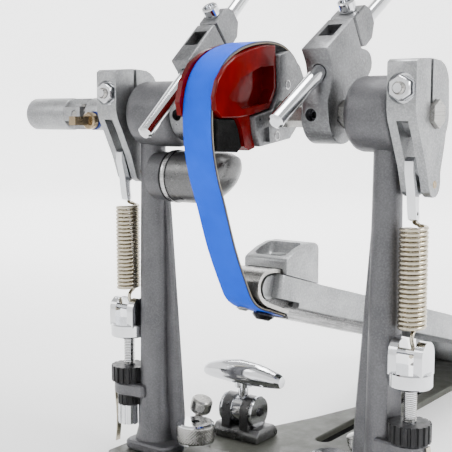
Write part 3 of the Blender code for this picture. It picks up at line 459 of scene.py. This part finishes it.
# (y, z) down the middle of the strap, from behind the carrier, over the cam, to under the toe
BELT_PATH = [
    (27, 228.5), (21, 237), (10, 243), (-4, 244.6), (-20, 242.6), (-33, 238.6), (-43, 232.6), (-50, 224),
    (-53.6, 213.5), (-54.2, 202), (-53, 189), (-49.5, 175.5), (-44, 162), (-34.5, 137.5), (-24, 117),
    (-18.5, 108.3), (-11, 102.9), (0, 99.05), (12.2, 94.75),
]
RUN_FOOT_Z, END_TOP_Z = 105.0, 124.0


def strap_length(name, path, inset=0.0):
    """A length of the drive strap: a blue face on a dark backing, with rounded edges."""
    low, high, half = BELT_X[0] + inset, BELT_X[1] - inset, BELT_THICK / 2 - inset
    # across the strap: (x, height off the middle), anticlockwise from the inner left edge
    section = [
        (low + 0.5, -half), (high - 0.5, -half), (high - 0.1, -half * 0.6), (high, 0.0),
        (high - 0.12, half * 0.55), (high - 0.45, half * 0.97), (high - 1.2, half),
        (low + 1.2, half), (low + 0.45, half * 0.97), (low + 0.12, half * 0.55),
        (low, 0.0), (low + 0.1, -half * 0.6),
    ]
    count = len(section)
    points, faces, blue, core = [], [], set(), set()
    for i, (p, t) in enumerate(zip(path, directions(path))):
        out = Vector((0, t.z, -t.y))
        points += [p + out * h + Vector((x, 0, 0)) for x, h in section]
        if i:
            for k in range(count):
                j = (k + 1) % count
                if section[k][1] > half * 0.9 and section[j][1] > half * 0.9:
                    blue.add(len(faces))
                elif abs(section[k][1] + section[j][1] + half * 0.6) < half * 0.1:
                    core.add(len(faces))
                faces.append(((i - 1) * count + k, (i - 1) * count + j, i * count + j, i * count + k))
    faces += [tuple(range(count)), tuple(range(len(points) - count, len(points)))]
    made = solid(name, points, faces, [LOOKS["blue_strap"], BACKING, CORE_THREAD], None, 50)
    for face in made.data.polygons:
        face.material_index = 0 if face.index in blue else 2 if face.index in core else 1
    return made


def strap():
    """The long run bends off the cam. Its end, a hair smaller and overlapping it, rides the footboard."""
    path = smooth_path([(0, y, z) for y, z in BELT_PATH], 7)
    run = strap_length("strap", [p for p in path if p.z > RUN_FOOT_Z])
    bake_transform(run)
    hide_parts("belt")
    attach(strap_length("strap_end", [p for p in path if p.z < END_TOP_Z], 0.1), "footboard")


def tensioner(side):
    """The thread on the tension rod and the leaf clip on the spring bracket."""
    sign = SIDES[side]
    x = sign * SPRING_X
    thread("rod_thread_" + side, (x, SPRING_Y, 0), 54.8, 72.3, 3.0, 1.0, LOOKS["steel"], "stand")
    # the clip's distance outside the rod, at even steps down its length, and its heights
    reaches = [9.9, 10.3, 10.4, 10.2, 9.5, 9.1, 9.2, 10.2]
    heights = [43.6, 41, 38, 33, 27, 20, 13, 4.2]
    thick, half_wide = 0.6, 1.8
    path = smooth_path([(0, 0, z) for z in heights], 4)
    points, faces = [], []
    for i, p in enumerate(path):
        share = i / (len(path) - 1) * (len(reaches) - 1)
        k = min(int(share), len(reaches) - 2)
        reach = reaches[k] + (reaches[k + 1] - reaches[k]) * (share - k)
        for dx, dy in ((0, -half_wide), (thick, -half_wide), (thick, half_wide), (0, half_wide)):
            points.append((x + sign * (reach + dx), SPRING_Y + dy, p.z))
        if i:
            a, b = 4 * (i - 1), 4 * i
            faces += [(a + k, a + (k + 1) % 4, b + (k + 1) % 4, b + k) for k in range(4)]
    faces += [(0, 1, 2, 3), tuple(range(len(points) - 4, len(points)))]
    solid("leaf_clip_" + side, points, faces, SPRING_STEEL, "stand", 50)


def disc(name, r, low, high, at, direction, material, body, edge=0.3, sides=32):
    """A short turned pin with chamfered ends."""
    profile = [(r - edge, low), (r, low + edge), (r, high - edge), (r - edge, high)]
    return lathe(name, profile, at, direction, material, body, sides)


def rocker_fittings(side):
    """The rocker's washer, threaded stud end and fork pin."""
    x, body = SIDES[side] * 94.1, AXLE_BODY[side]
    stud, outward = (x, 0, 219), (0, -1, 0)
    washer = [(5.0, 17.5), (7.3, 17.5), (7.5, 17.8), (7.5, 18.4), (7.2, 18.7), (5.0, 18.7), (5.0, 17.5)]
    lathe("rocker_washer_" + side, washer, stud, outward, LOOKS["chrome"], body)
    disc("rocker_stud_" + side, 3.0, 22.0, 25.6, stud, outward, LOOKS["steel"], body, 0.5)
    thread("stud_thread_" + side, stud, 24.1, 25.5, 3.0, 0.6, LOOKS["steel"], body, outward, 0.25)
    fork = (x, 1.0, 173.0)
    disc("fork_pin_" + side, 2.0, -7.9, 7.9, fork, (1, 0, 0), LOOKS["brass_screw"], body)


def hub_fittings(side):
    """The socket set screw in the hub's boss and a dark disc of painted shade at the floor of its socket."""
    low, high = HUB_BOSS[side]
    body = AXLE_BODY[side]
    at, outward = (low + 0.4 * (high - low), 0, AXLE_Z - 0.5), (0, -1, 0)
    socket = [(1.5, 9.5), (1.5, 11.6), (1.6, 12.0), (3.0, 12.0), (3.15, 11.8), (3.15, 9.5), (1.5, 9.5)]
    lathe("set_screw_" + side, socket, at, outward, LOOKS["black_steel"], body)
    # a dark disc of painted shade at the bottom of the socket
    disc("set_socket_shade_" + side, 1.7, 9.0, 9.8, at, outward, SOCKET_SHADE, body, 0.1)


def carrier_fittings():
    """The two dowel ends on the carrier's face."""
    end = [
        (0.6, 13.0), (1.9, 13.0), (2.6, 13.0), (2.6, 13.55),
        (2.3, 13.7), (1.9, 13.7), (1.8, 13.4), (0.6, 13.4),
    ]
    for number, (y, z) in enumerate(((6.0, 222.6), (-4.0, 195.5)), 1):
        lathe(f"carrier_dowel_{number}", end, (0, y, z), (1, 0, 0), TURNED, "main_axle", 32)


def barrel_rings():
    """A turned ring between two dark rings of painted shade in its gaps, where the stub meets the post."""
    at, way = (0, 0, 171.0), (1, 0, 0)
    ring = [
        (14.2, -59.5), (15.0, -59.5), (15.5, -58.9), (15.5, -57.3),
        (15.1, -56.7), (14.2, -56.7), (14.2, -59.5),
    ]
    lathe("barrel_ring", ring, at, way, TURNED, "stand", 64)
    # black rings of painted shade in the gaps either side of the turned ring
    for name, low in (("barrel_gap_shade_outer", -61.0), ("barrel_gap_shade_inner", -56.7)):
        shade_ring = [
            (14.2, low), (15.1, low), (15.25, low + 0.3), (15.25, low + 0.7), (15.1, low + 1.0),
            (14.2, low + 1.0), (14.2, low),
        ]
        lathe(name, shade_ring, at, way, LOOKS["black_plastic"], "stand", 64)


def lock_screw(side):
    """Knurling and thread on the leaning lock screw."""
    lean = math.radians(16)
    way = Vector((-SIDES[side] * math.sin(lean), 0, math.cos(lean)))
    at = Vector((SIDES[side] * 60.0, 16.5, 11.4))
    knurled("lock_knurl_" + side, 6.25, 17.3, 23.0, at, way, "stand", 30, 0.3, 14)
    thread("lock_thread_" + side, at, 6.0, 15.7, 2.2, 1.0, LOOKS["steel"], "stand", way, 0.35)


def clamp_discs():
    """The round cheeks of the side clamp, with the dark grooves between them."""
    x, y, z = -44.6, 46.8, 22.4
    cheeks = ((-12.4, -10.1, 9.9), (-3.7, -3.42, 9.2), (3.42, 3.7, 9.2), (10.1, 12.4, 9.9))
    for number, (low, high, r) in enumerate(cheeks, 1):
        edge = min(0.6, (high - low) / 4)
        disc(f"clamp_cheek_{number}", r, low, high, (x, y, z), (1, 0, 0), LOOKS["chrome"], "stand",
             edge, 48)
    for number, at in enumerate((x - 12.3, x + 12.3), 1):
        way = (math.copysign(1, at - x), 0, 0)
        disc(f"clamp_pin_{number}", 2.6, 0, 1.0, (at, y, z), way, LOOKS["black_steel"], "stand",
             0.35)


def dark_slot_strip():
    """A dark felt strip under the base plate, seen through its slot."""
    low, high, half, start, end = 0.3, 1.3, 4.6, 73.5, 217.0
    outline = [(-half, start), (half, start), (half, end), (-half, end)]
    points = [(x, y, low) for x, y in outline] + [(x, y, high) for x, y in outline]
    faces = [(0, 1, 2, 3), (4, 5, 6, 7)] + [(k, (k + 1) % 4, (k + 1) % 4 + 4, k + 4) for k in range(4)]
    solid("dark_slot_strip", points, faces, LOOKS["black_felt"], "stand")


def main():
    dress_frame()
    for side in SIDES:
        coil(side)
        tensioner(side)
        rocker_fittings(side)
        hub_fittings(side)
        lock_screw(side)
        spur_at = (SIDES[side] * 46.0, 0, 0)
        knurled("spur_knurl_" + side, 10.95, 14.8, 24.6, spur_at, (0, 0, 1), "spur_" + side)
    clamp_discs()
    dark_slot_strip()
    carrier_fittings()
    barrel_rings()
    strap()


# ---------------------------------------------------------------- floor, light and camera

LIGHTS = {
    # name: (place, aim, size, power)
    "key": ((1.7, 0.15, 1.1), (0, 0, 0.15), 0.9, 36),
    "fill": ((-1.1, -1.3, 1.2), (0, 0, 0.15), 0.9, 6),
    "top": ((-0.1, 0.3, 1.9), (0, 0, 0.1), 1.1, 34),
    "backdrop": ((-0.9, 0.6, 1.6), (-1.6, 2.4, 0.4), 1.2, 90),
}
CAMERA_AT = (0.2973, -0.4319, 0.207)
CAMERA_HEADING, CAMERA_PITCH = 36.6, 6.654
SENSOR_MM, FOCAL_PX, IMAGE_PX = 36.0, 960, 452


def link(obj):
    bpy.context.scene.collection.objects.link(obj)
    return obj


def aim(obj, direction):
    """Points a lamp or camera, which look down their own -Z, along a direction."""
    obj.rotation_euler = direction.to_track_quat("-Z", "Y").to_euler()


def lay_floor():
    """A round pale floor whose rim curves up all round. It glows more towards +Y."""
    rim, floor_z, sides = 2.2, -0.0002, 72
    rings = [(1.0, 0.0), (rim, 0.0)]
    rings += [(rim + math.sin(math.radians(a)), 1 - math.cos(math.radians(a))) for a in range(10, 91, 10)]
    rings += [(3.2, 2.6)]
    turns = [2 * math.pi * k / sides for k in range(sides)]
    points = [(0, 0, floor_z)]
    points += [(r * math.cos(t), r * math.sin(t), z + floor_z) for r, z in rings for t in turns]
    faces = [(0, 1 + k, 1 + (k + 1) % sides) for k in range(sides)]
    for ring in range(len(rings) - 1):
        a, b = 1 + ring * sides, 1 + (ring + 1) * sides
        faces += [(a + k, b + k, b + (k + 1) % sides, a + (k + 1) % sides) for k in range(sides)]
    mesh = bpy.data.meshes.new("floor")
    mesh.from_pydata(points, [], faces)
    mesh.shade_smooth()
    g = Graph("pale_floor", (0.9, 0.9, 0.9), 0.7)
    y = g.node("SeparateXYZ", {"Vector": g.coords}).outputs["Y"]
    g.to("Emission Color", g.ramp(y, 0.03, 1.0, 0.0, 0.5))
    g.set(g.shader, {"Emission Strength": 0.5})
    g.to("Base Color", g.ramp(g.noise(3, 2), (0.88, 0.88, 0.88), (0.92, 0.92, 0.92)))
    mesh.materials.append(g.mat)
    floor = link(bpy.data.objects.new("floor", mesh))


def hang_lights():
    for name, (place, target, size, power) in LIGHTS.items():
        lamp = bpy.data.lights.new(name, "AREA")
        lamp.shape, lamp.size, lamp.size_y, lamp.energy = "RECTANGLE", size, size * 0.7, power
        obj = link(bpy.data.objects.new(name, lamp))
        obj.location = place
        aim(obj, Vector(target) - Vector(place))


def fill_world():
    """Dim light from below, bright from above."""
    world = bpy.data.worlds.new("studio")
    world.use_nodes = True
    tree = world.node_tree
    sky = tree.nodes["Background"]
    fade = tree.nodes.new("ShaderNodeValToRGB")
    dim, bright = fade.color_ramp.elements
    dim.position, bright.position = 0.5, 0.85
    dim.color, bright.color = (0.1, 0.1, 0.105, 1), (0.95, 0.95, 0.95, 1)
    split = tree.nodes.new("ShaderNodeSeparateXYZ")
    way = tree.nodes.new("ShaderNodeTexCoord")
    half = tree.nodes.new("ShaderNodeMapRange")
    half.inputs["From Min"].default_value = -1
    for source, target in (
        (way.outputs["Generated"], split.inputs["Vector"]), (split.outputs["Z"], half.inputs["Value"]),
        (half.outputs["Result"], fade.inputs["Fac"]), (fade.outputs["Color"], sky.inputs["Color"]),
    ):
        tree.links.new(source, target)
    sky.inputs["Strength"].default_value = 0.9
    bpy.context.scene.world = world


def place_camera():
    data = bpy.data.cameras.new("camera")
    data.sensor_width, data.lens = SENSOR_MM, SENSOR_MM * FOCAL_PX / IMAGE_PX
    camera = link(bpy.data.objects.new("camera", data))
    heading, pitch = math.radians(CAMERA_HEADING), math.radians(CAMERA_PITCH)
    camera.location = CAMERA_AT
    aim(camera, Vector((
        -math.sin(heading) * math.cos(pitch), math.cos(heading) * math.cos(pitch), -math.sin(pitch),
    )))
    bpy.context.scene.camera = camera


def set_stage():
    lay_floor()
    hang_lights()
    fill_world()
    place_camera()


main()
set_stage()
